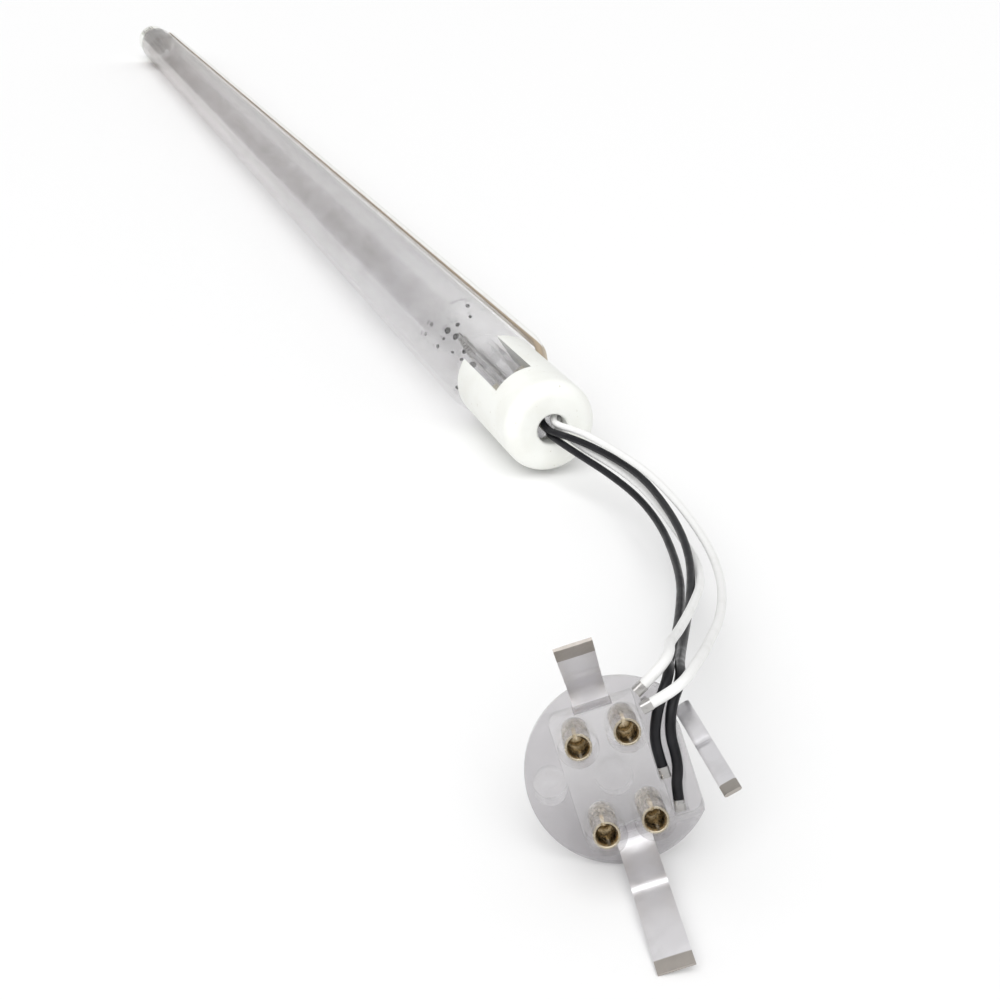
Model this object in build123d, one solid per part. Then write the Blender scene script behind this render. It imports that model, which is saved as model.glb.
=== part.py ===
from build123d import *
from math import cos, radians, sin, tan
import os

# Ultraviolet tube lamp with a clear four-contact cap on short leads, in millimetres.
# The lamp lies on the floor at z = 0. Its axis runs along +Y, from the ceramic base to the tip.
# Everything on the lamp is drawn in a lamp frame: Z along the tube from the base's end face, X across
# the flat of the pinch seals, Y towards the return leads. Everything on the cap is drawn in a cap frame:
# Z out of the face with the contacts, Y towards the top leg, X towards the flat side.

# Driving dimensions
GLASS_D = 19.0
LENGTH = 660.0
LEAD_D = 1.2
RETURN_D = 1.5
PIN_D = 2.0
CAP_D = 20.4

# Lamp sizes
GLASS_R = GLASS_D / 2
WALL = 1.0
CERAMIC_R = 8.5
BASE_L = 28.5
TIP_SHIFT = -6.5
END_ROUND = 2.8
PINCH_ROLL = 30.0

# Stations of the base end, along the lamp. The tip end has the same ones, moved by TIP_SHIFT.
WIRE_HOLE_R = 2.75
CHAMBER_R = 5.9
CHAMBER_START = 2.6
BLADE_START = 10.6
SLOT_START = 9.8
DOME_CENTRE = 35.5
SLEEVE_START = 6.4
PIN_START = 9.0
FOIL_START = 13.5
FOIL_END = 23.5
COIL_AT = 48.0

# Pinch seal and feed-through sizes
BLADE_W = 15.0
BLADE_T = 5.0
BLADE_L = 21.0
SLOT_W = 7.6
CUP_GAP = 0.3
RIB_RECESS = 0.6
FEED_X = 2.9
FOIL_W = 2.4
FOIL_T = 0.1
PIN_R = 0.4
POST_R = 0.35
COIL_R = 1.0
SLEEVE_R = 0.75
RETURN_X = 0.85
RETURN_Y = 10.4

# Cap sizes
CAP_R = CAP_D / 2
FLANGE_T = 1.6
FLAT_X = 7.5
HUB_X = -0.65
HUB_Y = 1.0
HUB_LEFT = -5.7
HUB_TOP = 8.3
HUB_BOTTOM = -6.4
HUB_H = 4.4
CONTACT_DX = 2.6
CONTACT_DY = 4.75
BOSS_R = 2.15
BOSS_H = 9.3
CONTACT_Z0 = 1.8
CONTACT_Z1 = 9.0
CONTACT_R = 1.42
TROUGH_Z = 1.65
STRIP_W = 4.1
STRIP_T = 0.35
TOP_REACH = 0.89
SIDE_W = 1.9
SIDE_TURN = 12.0
SIDE_X = 8.5
SIDE_Y = 4.6

# Where the cap lies, from the base's end face: it leans back on its rim and its bottom leg
CAP_TURN = 19.45
CAP_LEAN = 22.0
CAP_ROLL = 17.9
CAP_X = -28.7
CAP_Y = -91.8

os.makedirs("parts", exist_ok=True)


def write(name, shape):
    """Write one node and print its volume."""
    shape.label = name
    export_step(shape, "parts/" + name + ".step")
    print(name, "volume", round(shape.volume, 2))


# Frames

roll = radians(PINCH_ROLL)
lamp_plane = Plane(
    origin=(0, -LENGTH / 2, GLASS_R),
    x_dir=(-sin(roll), 0, cos(roll)),
    z_dir=(0, 1, 0),
)

turn = radians(CAP_TURN)
lean = radians(CAP_LEAN)
cap_roll = radians(CAP_ROLL)
facing = Vector(-sin(turn), -cos(turn), 0)
normal = facing * cos(lean) + Vector(0, 0, 1) * sin(lean)
right = Vector(cos(turn), -sin(turn), 0)
up = facing * -sin(lean) + Vector(0, 0, 1) * cos(lean)
cap_plane = Plane(
    origin=(CAP_X, CAP_Y - LENGTH / 2, CAP_R * cos(lean)),
    x_dir=right * cos(cap_roll) + up * sin(cap_roll),
    z_dir=normal,
)


def on_lamp(shape):
    """Move a shape from the lamp frame to where it lies."""
    return shape.moved(lamp_plane.location)


def at_tip(shape):
    """Turn a shape made for the base end over to the tip end, which also swaps its two faces."""
    return shape.moved(Rotation(180, 0, 0)).moved(Location((0, 0, LENGTH)))


def on_cap(shape):
    """Move a shape from the cap frame to where it lies."""
    return shape.moved(cap_plane.location)


def rod(radius, low, high, x=0.0, y=0.0):
    """Round rod along Z from low to high."""
    return Pos(x, y, (low + high) / 2) * Cylinder(radius, high - low)


def block(x0, x1, y0, y1, z0, z1):
    """Box given by its limits."""
    centre = Pos((x0 + x1) / 2, (y0 + y1) / 2, (z0 + z1) / 2)
    return centre * Box(x1 - x0, y1 - y0, z1 - z0)


# Glass tube with domed ends and pinch seals

def bulb(radius):
    """Solid of revolution with a round dome at each end."""
    low = DOME_CENTRE
    high = LENGTH - DOME_CENTRE - TIP_SHIFT
    base_arc = CenterArc((0, low), radius, 270, 90)
    side = Line((radius, low), (radius, high))
    tip_arc = CenterArc((0, high), radius, 0, 90)
    axis = Line((0, high + radius), (0, low - radius))
    profile = make_face([Plane.XZ * edge for edge in (base_arc, side, tip_arc, axis)])
    return revolve(profile, Axis.Z)


def blade(shift):
    """Flat pinch seal of one end, with a shallow recess on each face."""
    low = BLADE_START + shift
    body = block(-BLADE_W / 2, BLADE_W / 2, -BLADE_T / 2, BLADE_T / 2, low, low + BLADE_L)
    body = fillet(body.edges().filter_by(Axis.Z), 0.8)
    for side in (-1, 1):
        face = side * BLADE_T / 2
        inner = face - side * RIB_RECESS
        body -= block(-4, 4, min(face, inner), max(face, inner), low + 1, low + 10)
    return body


def feed_through_space(shift):
    """Room in the pinch seal for its foils, pins and posts."""
    space = Part()
    for x in (-FEED_X, FEED_X):
        space += foil(x, shift)
        space += rod(PIN_R + 0.03, BLADE_START + shift - 1, FOIL_START + shift, x)
        space += rod(POST_R + 0.03, FOIL_END + shift, BLADE_START + BLADE_L + shift, x)
    return space


def foil(x, shift):
    """Thin molybdenum foil that carries the current through the seal."""
    return block(
        x - FOIL_W / 2, x + FOIL_W / 2, -FOIL_T / 2, FOIL_T / 2, FOIL_START + shift, FOIL_END + shift
    )


def quartz_tube():
    """Clear quartz tube: a sealed shell with both pinch seals."""
    glass = bulb(GLASS_R) + blade(0) + at_tip(blade(TIP_SHIFT))
    glass -= bulb(GLASS_R - WALL)
    glass -= feed_through_space(0)
    glass -= at_tip(feed_through_space(TIP_SHIFT))
    return glass


# Electrodes

def electrode_coil(shift):
    """Oxide-coated coil across the tube, drawn as a ridged rod."""
    turns = 9
    half = FEED_X - POST_R
    pitch = 2 * half / turns
    points = [(-half, 0)]
    for i in range(turns):
        left = -half + i * pitch
        points.append((left, COIL_R * 0.78))
        points.append((left + 0.3 * pitch, COIL_R))
        points.append((left + 0.7 * pitch, COIL_R))
    points.append((half, COIL_R * 0.78))
    points.append((half, 0))
    profile = make_face(Polyline(*points, close=True))
    coil = revolve(profile, Axis.X)
    return coil.moved(Location((0, 0, COIL_AT + shift)))


def electrode_post(x, shift):
    """Straight rod from the foil to the end of the coil."""
    return rod(POST_R, FOIL_END + shift, COIL_AT + shift + COIL_R, x)


def outer_pin(x, shift):
    """Rod from the foil out of the end of the seal."""
    return rod(PIN_R, PIN_START + shift, FOIL_START + shift, x)


# Ceramic caps

def return_channel(shift, side):
    """Groove in a ceramic cap, on its side of Y, through which the two return leads run inwards."""
    outer = [(11.4, 30), (10.9, 28.2), (9.4, 24), (6.8, 17), (4.7, 11.2), (4.6, 9.7)]
    inner = [(2.3, 9.7), (2.35, 11.2), (4.4, 17), (7.1, 24), (9.0, 29.5)]
    points = [(side * y, z + shift) for y, z in outer + inner]
    face = make_face(Plane.YZ * Polyline(*points, close=True))
    return extrude(face, amount=RETURN_X + 0.95, both=True)


def ceramic_cap(shift, wire_hole, side):
    """Round ceramic cap over one pinch seal: slotted for the seal and hollow behind it."""
    length = BASE_L + shift
    cap = rod(CERAMIC_R, 0, length)
    cap = fillet(cap.edges().sort_by(Axis.Z)[0], END_ROUND)
    cap = chamfer(cap.edges().sort_by(Axis.Z)[-1], 0.3)
    cup = Pos(0, 0, shift) * bulb(GLASS_R + CUP_GAP)
    cap -= cup
    cap -= block(-12, 12, -SLOT_W / 2, SLOT_W / 2, SLOT_START + shift, length + 1)
    chamber_low = CHAMBER_START if wire_hole else PIN_START + shift - 1.1
    cap -= rod(CHAMBER_R, chamber_low, SLOT_START + shift + 0.01)
    cap -= return_channel(shift, side)
    if wire_hole:
        cap -= rod(WIRE_HOLE_R, -1, CHAMBER_START + 1)
        mouth = cap.edges().filter_by(GeomType.CIRCLE).group_by(Axis.Z)[0]
        cap = fillet(mouth.sort_by(SortBy.RADIUS)[0], 0.5)
    return cap


def cement(shift):
    """Four pads of cement between the seal and the walls of the slot, clear of the return leads."""
    low = BLADE_START + shift + 1.0
    high = BLADE_START + shift + 9.0
    pads = Part()
    for side in (-1, 1):
        inner = side * (BLADE_T / 2 - RIB_RECESS)
        outer = side * SLOT_W / 2
        for across in (-1, 1):
            near = across * 2.0
            far = across * 3.8
            pads += block(min(near, far), max(near, far), min(inner, outer), max(inner, outer), low, high)
    return pads


# Cords

def corner_radii(points):
    """Radius at each inner point: 0.45 of the shorter run, over the tangent of half the turn."""
    radii = []
    for a, b, c in zip(points, points[1:], points[2:]):
        first = Vector(*b) - Vector(*a)
        second = Vector(*c) - Vector(*b)
        half_turn = radians(first.get_angle(second)) / 2
        radii.append(0.45 * min(first.length, second.length) / tan(half_turn))
    return radii


def tube(name, points, diameter):
    """Round cord through the points, as straight runs joined by tangent arcs."""
    radii = corner_radii(points)
    path = FilletPolyline(*points, radius=radii)
    start = Plane(origin=path @ 0, z_dir=path % 0)
    solid = sweep(start * Circle(diameter / 2), path=path)
    print(name, "length", round(path.length, 1), "least radius", round(min(radii), 1))
    return solid


def on_lamp_point(x, y, z):
    """A point of the lamp frame in the part's frame."""
    return tuple(lamp_plane.from_local_coords(Vector(x, y, z)))


def on_cap_point(x, y, z):
    """A point of the cap frame in the part's frame."""
    return tuple(cap_plane.from_local_coords(Vector(x, y, z)))


def return_lead(side):
    """Insulated lead that brings the current of the far electrode back outside the glass."""
    x = side * RETURN_X
    inwards = [(3.4, PIN_START), (3.4, 11.2), (5.6, 17.0), (8.3, 24.0), (10.05, 29.0), (RETURN_Y, 34.5)]
    base = [(x, y, z) for y, z in inwards]
    tip = [(x, y, LENGTH - z - TIP_SHIFT) for y, z in reversed(inwards)]
    return base + tip


# The end face of each lead in its terminal, in the cap frame, and the way it points there, in degrees
TERMINALS = {
    "black_lead_left": (4.5, -0.5, 2.7, 270.0),
    "black_lead_right": (5.1, -4.4, 2.7, 262.0),
    "white_lead_outer": (5.35, 6.85, 5.0, 192.0),
    "white_lead_inner": (5.25, 8.5, 2.9, 207.0),
}

WIRE_GAP = 0.8
LAST_RUN = 1.6

# Free leads: the route inside the base in the lamp frame, then over the floor with Y from the base's
# end face, then in the cap frame
LEADS = {
    "black_lead_left": (
        [(-FEED_X, 0, SLEEVE_START), (-FEED_X, 0, 5.0), (-WIRE_GAP, -WIRE_GAP, 1.4),
         (-WIRE_GAP, -WIRE_GAP, -1.0)],
        [(1.9, -6.9, 7.4), (4.7, -14.3, 6.3), (6.3, -22.7, 5.4), (5.6, -32.3, 4.9), (2.5, -43.0, 5.4),
         (-1.5, -53.0, 6.8), (-6.2, -61.8, 8.4), (-10.7, -69.6, 9.8), (-15.1, -76.6, 11.6)],
        [(9.35, 7.4, -9.5), (8.9, 8.2, -4.6), (8.6, 8.7, -0.4), (7.8, 7.9, 1.8), (6.4, 6.4, 2.85),
         (5.2, 4.2, 2.8), (4.65, 2.6, 2.7)],
    ),
    "black_lead_right": (
        [(FEED_X, 0, SLEEVE_START), (FEED_X, 0, 5.0), (WIRE_GAP, -WIRE_GAP, 1.4),
         (WIRE_GAP, -WIRE_GAP, -1.0)],
        [(2.3, -6.4, 9.7), (5.2, -14.0, 9.3), (6.5, -22.8, 9.2), (5.5, -32.8, 9.2), (3.3, -43.3, 9.4),
         (0.2, -52.3, 9.4), (-4.0, -60.5, 9.75), (-8.75, -68.4, 10.65), (-13.7, -76.6, 12.1)],
        [(10.6, 7.05, -9.5), (10.0, 7.5, -4.6), (9.6, 7.75, -0.4), (8.8, 6.9, 1.6), (7.35, 5.45, 2.8),
         (6.3, 2.6, 2.75), (6.25, 0.2, 2.7), (5.95, -1.5, 2.7)],
    ),
    "white_lead_outer": (
        [(RETURN_X, 3.4, SLEEVE_START), (RETURN_X, 3.4, 5.0), (WIRE_GAP, 0.95, 1.4),
         (WIRE_GAP, 0.95, -1.0)],
        [(3.0, -6.4, 11.1), (5.3, -15.0, 10.8), (6.7, -24.4, 10.7), (6.4, -35.0, 10.5), (4.9, -45.6, 10.5),
         (2.4, -55.1, 11.0), (-1.8, -65.0, 12.3), (-7.5, -74.6, 14.2), (-13.6, -82.5, 16.4)],
        [(13.0, 8.2, -4.4), (11.1, 8.1, 0.4), (9.7, 7.8, 3.25), (8.45, 7.5, 4.4)],
    ),
    "white_lead_inner": (
        [(-RETURN_X, 3.4, SLEEVE_START), (-RETURN_X, 3.4, 5.0), (-WIRE_GAP, 0.95, 1.4),
         (-WIRE_GAP, 0.95, -1.0)],
        [(3.1, -6.4, 8.1), (5.3, -13.2, 7.7), (6.9, -21.4, 7.1), (6.6, -29.9, 6.6), (5.6, -38.5, 6.3),
         (3.1, -48.9, 7.4), (-1.75, -59.2, 10.15), (-8.0, -68.4, 12.9), (-14.1, -76.5, 15.1)],
        [(10.6, 9.8, -9.5), (9.6, 10.3, -4.2), (9.15, 10.4, -0.2), (8.3, 10.0, 1.75)],
    ),
}


def free_lead(name):
    """The whole route of a free lead in the part's frame. Its last run is in line with its terminal."""
    inside, outside, capside = LEADS[name]
    end_x, end_y, end_z, heading = TERMINALS[name]
    before_x = end_x - LAST_RUN * cos(radians(heading))
    before_y = end_y - LAST_RUN * sin(radians(heading))
    points = [on_lamp_point(*p) for p in inside]
    points += [(x, y - LENGTH / 2, z) for x, y, z in outside]
    points += [on_cap_point(*p) for p in capside + [(before_x, before_y, end_z), (end_x, end_y, end_z)]]
    return points


# Cap body, contacts, terminals and legs

CONTACTS = {
    "1": (HUB_X - CONTACT_DX, HUB_Y + CONTACT_DY),
    "2": (HUB_X + CONTACT_DX, HUB_Y + CONTACT_DY),
    "3": (HUB_X - CONTACT_DX, HUB_Y - CONTACT_DY),
    "4": (HUB_X + CONTACT_DX, HUB_Y - CONTACT_DY),
}


def flange():
    """Round plate with one flat side and a bevelled front edge."""
    plate = rod(CAP_R, 0, FLANGE_T)
    plate = chamfer(plate.edges().sort_by(Axis.Z)[-1], 0.5, 0.9)
    return plate - block(FLAT_X, 20, -20, 20, -1, 20)


def domed_post(x, y, radius, height):
    """Round post with a domed end."""
    post = rod(radius, FLANGE_T - 0.5, height, x, y)
    return fillet(post.edges().sort_by(Axis.Z)[-1], radius * 0.6)


def trough():
    """Open wire space along the flat side of the hub."""
    wall = [(9.0, 4.4), (7.2, 3.4), (6.95, 0.5), (6.65, -2.0), (6.1, -3.4), (5.85, -5.8)]
    outline = [(3.8, 9.5), (9.0, 9.5)] + wall + [(4.2, -5.8), (4.2, -2.2), (3.8, -1.7)]
    face = make_face(Polyline(*outline, close=True))
    return extrude(face.moved(Location((0, 0, TROUGH_Z))), amount=20)


def cap_body():
    """Clear moulded cap: plate, hub, four contact tubes, centre boss and locating post."""
    hub = block(HUB_LEFT, FLAT_X, HUB_BOTTOM, HUB_TOP, FLANGE_T / 2, HUB_H)
    hub = fillet(hub.edges().filter_by(Axis.Z), 1.2)
    hub = fillet(hub.faces().sort_by(Axis.Z)[-1].edges(), 0.4)
    reach = rod(CAP_R - 0.3, 0, 20)
    body = flange() + (hub & reach)
    for x, y in CONTACTS.values():
        boss = rod(BOSS_R, FLANGE_T / 2, BOSS_H, x, y)
        body += fillet(boss.edges().sort_by(Axis.Z)[-1], 0.25)
    body += domed_post(HUB_X, HUB_Y, 1.95, 7.4)
    body += domed_post(-7.4, HUB_Y + 0.3, 1.8, 5.6)
    body -= trough()
    for x, y in CONTACTS.values():
        body -= rod(CONTACT_R + 0.08, CONTACT_Z0, 20, x, y)
    for y in (HUB_TOP, HUB_BOTTOM):
        body -= block(
            HUB_X - STRIP_W / 2 - 0.1, HUB_X + STRIP_W / 2 + 0.1, y - 0.9, y + 0.9,
            FLANGE_T, FLANGE_T + STRIP_T + 0.1
        )
    return body


def socket_contact(x, y):
    """Sprung female contact: a rolled barrel with a waist, a flared mouth and a slit."""
    bore = PIN_D / 2
    outline = [
        (0, CONTACT_Z0), (CONTACT_R, CONTACT_Z0), (CONTACT_R, 4.4), (1.24, 4.9), (1.24, 5.6), (1.36, 6.1),
        (1.36, 8.4), (CONTACT_R, CONTACT_Z1), (bore + 0.2, CONTACT_Z1), (bore, 8.6), (bore, 2.8), (0, 2.4),
    ]
    barrel = revolve(make_face(Plane.XZ * Polyline(*outline, close=True)), Axis.Z)
    barrel -= block(-0.2, 0.2, 0.3, 3, 5.2, 20)
    return barrel.moved(Location((x, y, 0)))


def terminal(x, y, z, heading):
    """Crimped terminal that stands in the wire space and grips the end of one lead."""
    grip = block(0, 1.2, -0.6, 0.6, -0.65, 0.65)
    grip = fillet(grip.edges().filter_by(Axis.X), 0.3)
    foot = block(0.2, 0.9, -0.2, 0.2, TROUGH_Z - z, 0)
    return (grip + foot).moved(Location((x, y, z), (0, 0, heading)))


def ribbon(points, thickness):
    """Closed outline of a bent strip, mitred at its bends, from the points of its middle line."""
    first = []
    second = []
    for i, (y, z) in enumerate(points):
        before = points[max(i - 1, 0)]
        after = points[min(i + 1, len(points) - 1)]
        a = Vector(y - before[0], z - before[1], 0) if i else Vector(after[0] - y, after[1] - z, 0)
        b = Vector(after[0] - y, after[1] - z, 0) if i < len(points) - 1 else a
        a = a.normalized()
        b = b.normalized()
        across = Vector(-(a.Y + b.Y), a.X + b.X, 0).normalized()
        reach = thickness / 2 / across.dot(Vector(-a.Y, a.X, 0))
        first.append((y + across.X * reach, z + across.Y * reach))
        second.append((y - across.X * reach, z - across.Y * reach))
    return first + second[::-1]


# Middle line of a leg: distance out from its root, and height above the plate's back
LEG_LINE = [
    (-0.8, 1.8), (1.9, 1.85), (3.7, 4.4), (4.1, 6.1), (5.1, 6.8), (5.6, 8.5), (8.9, 14.1), (9.9, 15.5),
]
SIDE_LINE = [
    (0, 0.6), (0.1, 1.8), (2.2, 6.0), (3.1, 6.9), (2.9, 8.0), (3.3, 8.9), (5.9, 14.2), (6.1, 15.2),
]


def leg(root, reach):
    """Spring leg above or below the hub: a bent strip of steel, its line's reach scaled by reach."""
    line = [(root + reach * out, z) for out, z in LEG_LINE]
    face = make_face(Plane.YZ * Polyline(*ribbon(line, STRIP_T), close=True))
    strip = extrude(face, amount=STRIP_W / 2, both=True)
    return strip.moved(Location((HUB_X, 0, 0)))


def side_leg():
    """Narrow spring leg beside the flat side, turned a little and leaning towards the bottom leg."""
    line = [(-out, z) for out, z in SIDE_LINE]
    face = make_face(Plane.YZ * Polyline(*ribbon(line, STRIP_T), close=True))
    strip = extrude(face, amount=SIDE_W / 2, both=True)
    return strip.moved(Location((SIDE_X, SIDE_Y, 0), (0, 0, SIDE_TURN)))


# Beads of mercury on the wall inside the base end: station along the lamp, angle round it, and radius
BEADS = [
    (49.9, 35.0, 0.5), (51.0, 334.0, 0.45), (51.8, 317.0, 0.45), (43.4, 317.0, 0.45), (43.2, 344.0, 0.75),
    (41.7, 0.0, 0.5), (38.4, 346.0, 0.7), (63.8, 176.0, 0.65), (55.6, 183.0, 0.9), (44.4, 235.0, 0.5),
    (61.5, 189.0, 0.45), (42.6, 22.0, 0.4), (41.9, 332.0, 0.35), (67.2, 191.0, 0.35),
]


def mercury_beads():
    """Drops that lie on the inside of the wall."""
    drops = Part()
    for z, angle, radius in BEADS:
        reach = GLASS_R - WALL - radius - 0.05
        x = reach * cos(radians(angle))
        y = reach * sin(radians(angle))
        drops += Pos(x, y, z) * Sphere(radius)
    return drops


# Lamp
write("quartz_tube", on_lamp(quartz_tube()))
write("ceramic_base", on_lamp(ceramic_cap(0, True, 1)))
write("ceramic_tip", on_lamp(at_tip(ceramic_cap(TIP_SHIFT, False, -1))))
write("base_cement", on_lamp(cement(0)))
write("tip_cement", on_lamp(at_tip(cement(TIP_SHIFT))))
write("base_electrode_coil", on_lamp(electrode_coil(0)))
write("tip_electrode_coil", on_lamp(at_tip(electrode_coil(TIP_SHIFT))))
for side_name, feed_x in (("left", -FEED_X), ("right", FEED_X)):
    write("base_foil_" + side_name, on_lamp(foil(feed_x, 0)))
    write("base_post_" + side_name, on_lamp(electrode_post(feed_x, 0)))
    write("base_pin_" + side_name, on_lamp(outer_pin(feed_x, 0)))
    write("tip_foil_" + side_name, on_lamp(at_tip(foil(feed_x, TIP_SHIFT))))
    write("tip_post_" + side_name, on_lamp(at_tip(electrode_post(feed_x, TIP_SHIFT))))
    write("tip_pin_" + side_name, on_lamp(at_tip(outer_pin(feed_x, TIP_SHIFT))))
    sign = 1 if feed_x > 0 else -1
    lead_points = return_lead(sign)
    placed = [on_lamp_point(*p) for p in lead_points]
    write("return_lead_" + side_name, tube("return_lead_" + side_name, placed, RETURN_D))
    link_x = sorted((sign * 0.25, sign * (FEED_X + 0.5)))
    link_z = PIN_START + TIP_SHIFT
    link = block(link_x[0], link_x[1], -4.1, 0.5, link_z - 0.5, link_z)
    write("tip_link_" + side_name, on_lamp(at_tip(link)))
    write("pin_sleeve_" + side_name, on_lamp(rod(SLEEVE_R, SLEEVE_START, PIN_START, feed_x)))
    return_sleeve = rod(SLEEVE_R, SLEEVE_START, PIN_START, sign * RETURN_X, 3.4)
    write("return_sleeve_" + side_name, on_lamp(return_sleeve))
write("mercury_beads", on_lamp(mercury_beads()))

# Cap
write("cap_body", on_cap(cap_body()))
for number, (contact_x, contact_y) in CONTACTS.items():
    write("socket_contact_" + number, on_cap(socket_contact(contact_x, contact_y)))
for name, place in TERMINALS.items():
    write(name.replace("_lead", "") + "_terminal", on_cap(terminal(*place)))
write("spring_leg_top", on_cap(leg(HUB_TOP, TOP_REACH)))
write("spring_leg_bottom", on_cap(leg(HUB_BOTTOM, -1)))
write("spring_leg_side", on_cap(side_leg()))

# Free leads
for name in LEADS:
    write(name, tube(name, free_lead(name), LEAD_D))
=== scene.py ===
from math import radians

import bmesh
import bpy
import numpy as np
from bpy.props import FloatProperty, FloatVectorProperty, IntProperty, PointerProperty
from bpy.types import Operator, Panel, PropertyGroup
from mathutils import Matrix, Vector


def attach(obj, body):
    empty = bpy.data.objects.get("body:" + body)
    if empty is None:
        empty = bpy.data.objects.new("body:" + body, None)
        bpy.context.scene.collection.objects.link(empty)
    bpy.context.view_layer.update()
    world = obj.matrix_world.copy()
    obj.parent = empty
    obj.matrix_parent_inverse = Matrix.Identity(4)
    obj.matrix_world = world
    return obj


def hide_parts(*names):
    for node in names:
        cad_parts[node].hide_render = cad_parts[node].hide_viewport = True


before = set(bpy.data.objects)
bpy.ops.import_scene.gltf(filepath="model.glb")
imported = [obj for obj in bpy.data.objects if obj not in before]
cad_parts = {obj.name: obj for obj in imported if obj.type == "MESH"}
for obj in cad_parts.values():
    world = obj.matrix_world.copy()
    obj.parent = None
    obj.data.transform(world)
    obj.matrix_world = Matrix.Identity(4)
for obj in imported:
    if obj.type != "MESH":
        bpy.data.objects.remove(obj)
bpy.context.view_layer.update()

bl_info = {
    "name": "Ultraviolet tube lamp",
    "version": (1, 0, 0),
    "blender": (4, 5, 0),
    "location": "View3D > Sidebar > Lamp",
    "description": "Dresses a quartz tube lamp with ceramic ends, loose leads and a clear socket cap",
    "category": "Object",
}

# Sizes in millimetres, as in the part
MM = 0.001
LENGTH = 660.0
GLASS_R = 9.5
WALL = 1.0
RETURN_R = 0.75
LEAD_D = 1.2

# Frames of the lamp and of its cap: an origin and three axes, as in the part

ROLL = radians(30.0)
LAMP_ORIGIN = np.array([0.0, -LENGTH / 2, GLASS_R]) * MM
LAMP_AXES = np.array([
    [-np.sin(ROLL), 0.0, np.cos(ROLL)],
    [np.cos(ROLL), 0.0, np.sin(ROLL)],
    [0.0, 1.0, 0.0],
])

CAP_TURN = radians(19.45)
CAP_LEAN = radians(22.0)
CAP_ROLL = radians(17.9)
CAP_R = 10.2
CAP_X = -28.7
CAP_Y = -91.8
FACING = np.array([-np.sin(CAP_TURN), -np.cos(CAP_TURN), 0.0])
SKY = np.array([0.0, 0.0, 1.0])
CAP_NORMAL = FACING * np.cos(CAP_LEAN) + SKY * np.sin(CAP_LEAN)
CAP_RIGHT = np.array([np.cos(CAP_TURN), -np.sin(CAP_TURN), 0.0])
CAP_UP = SKY * np.cos(CAP_LEAN) - FACING * np.sin(CAP_LEAN)
CAP_X_AXIS = CAP_RIGHT * np.cos(CAP_ROLL) + CAP_UP * np.sin(CAP_ROLL)
CAP_AXES = np.array([CAP_X_AXIS, np.cross(CAP_NORMAL, CAP_X_AXIS), CAP_NORMAL])
CAP_ORIGIN = np.array([CAP_X, CAP_Y - LENGTH / 2, CAP_R * np.cos(CAP_LEAN)]) * MM

# Stations of the lamp's base end, in millimetres from its end face
TIP_SHIFT = -6.5
BLADE_START = 10.6
DOME_CENTRE = 35.5
COIL_AT = 48.0
FEED_X = 2.9
PIN_START = 9.0
SLEEVE_START = 6.4
RETURN_X = 0.85


def on_lamp(points):
    """Points of the lamp frame, in millimetres, as metres in the part's frame."""
    return LAMP_ORIGIN + np.asarray(points, float) @ LAMP_AXES * MM


def on_cap(points):
    """Points of the cap frame, in millimetres, as metres in the part's frame."""
    return CAP_ORIGIN + np.asarray(points, float) @ CAP_AXES * MM


def from_tip(points):
    """Points given from the base end, carried over to the tip by half a turn about X."""
    x, y, z = np.moveaxis(np.asarray(points, float), -1, 0)
    return np.stack([x, -y, LENGTH - TIP_SHIFT - z], axis=-1)


# Shapes as whole arrays

def smooth_step(low, high, value):
    """Rises from 0 to 1 between low and high as 3t squared minus 2t cubed."""
    t = np.clip((value - low) / (high - low), 0, 1)
    return t * t * (3 - 2 * t)


def loft(rings, hollow=False):
    """Skin over closed rings, an array of ring, point and place, closed by a fan at each end.

    Its faces point outwards, or into the hollow when the skin is the inside of a wall.
    """
    count, around = rings.shape[:2]
    poles = np.stack([rings[0].mean(axis=0), rings[-1].mean(axis=0)])
    points = np.concatenate([rings.reshape(-1, 3), poles])
    row, column = np.meshgrid(np.arange(count - 1), np.arange(around), indexing="ij")
    after = (column + 1) % around
    here = row * around
    quads = np.stack([here + column, here + after, here + around + after, here + around + column], axis=-1)
    quads = quads.reshape(-1, 4)
    one = np.arange(around)
    two = (one + 1) % around
    last = (count - 1) * around
    first_pole = np.full(around, count * around)
    low_fan = np.stack([two, one, first_pole], axis=-1)
    high_fan = np.stack([last + one, last + two, first_pole + 1], axis=-1)
    triangles = np.concatenate([quads[:, [0, 1, 2]], quads[:, [0, 2, 3]], low_fan, high_fan])
    corner = points[triangles]
    volume = np.einsum("ij,ij->", corner[:, 0], np.cross(corner[:, 1], corner[:, 2]))
    faces = quads.tolist() + low_fan.tolist() + high_fan.tolist()
    if (volume < 0) != hollow:
        faces = [face[::-1] for face in faces]
    return points, faces


def section(across, up, power, count):
    """Rounded section, by its angle: |x / across| to the power plus |y / up| to the power equals 1."""
    angle = 2 * np.pi * (np.arange(count) + 0.5) / count
    x, y = np.cos(angle), np.sin(angle)
    reach = (np.abs(x / across) ** power + np.abs(y / up) ** power) ** (-1 / power)
    return np.stack([x * reach, y * reach], axis=-1)


def sweep(centre, side, outline):
    """An outline carried along a line.

    Its first number goes along side, and its second along tangent cross side.
    """
    tangent = np.gradient(centre, axis=0)
    tangent /= np.linalg.norm(tangent, axis=1, keepdims=True)
    up = np.cross(tangent, side)
    up /= np.linalg.norm(up, axis=1, keepdims=True)
    across = np.cross(up, tangent)
    return centre[:, None] + outline[None, :, :1] * across[:, None] + outline[None, :, 1:] * up[:, None]


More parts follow.
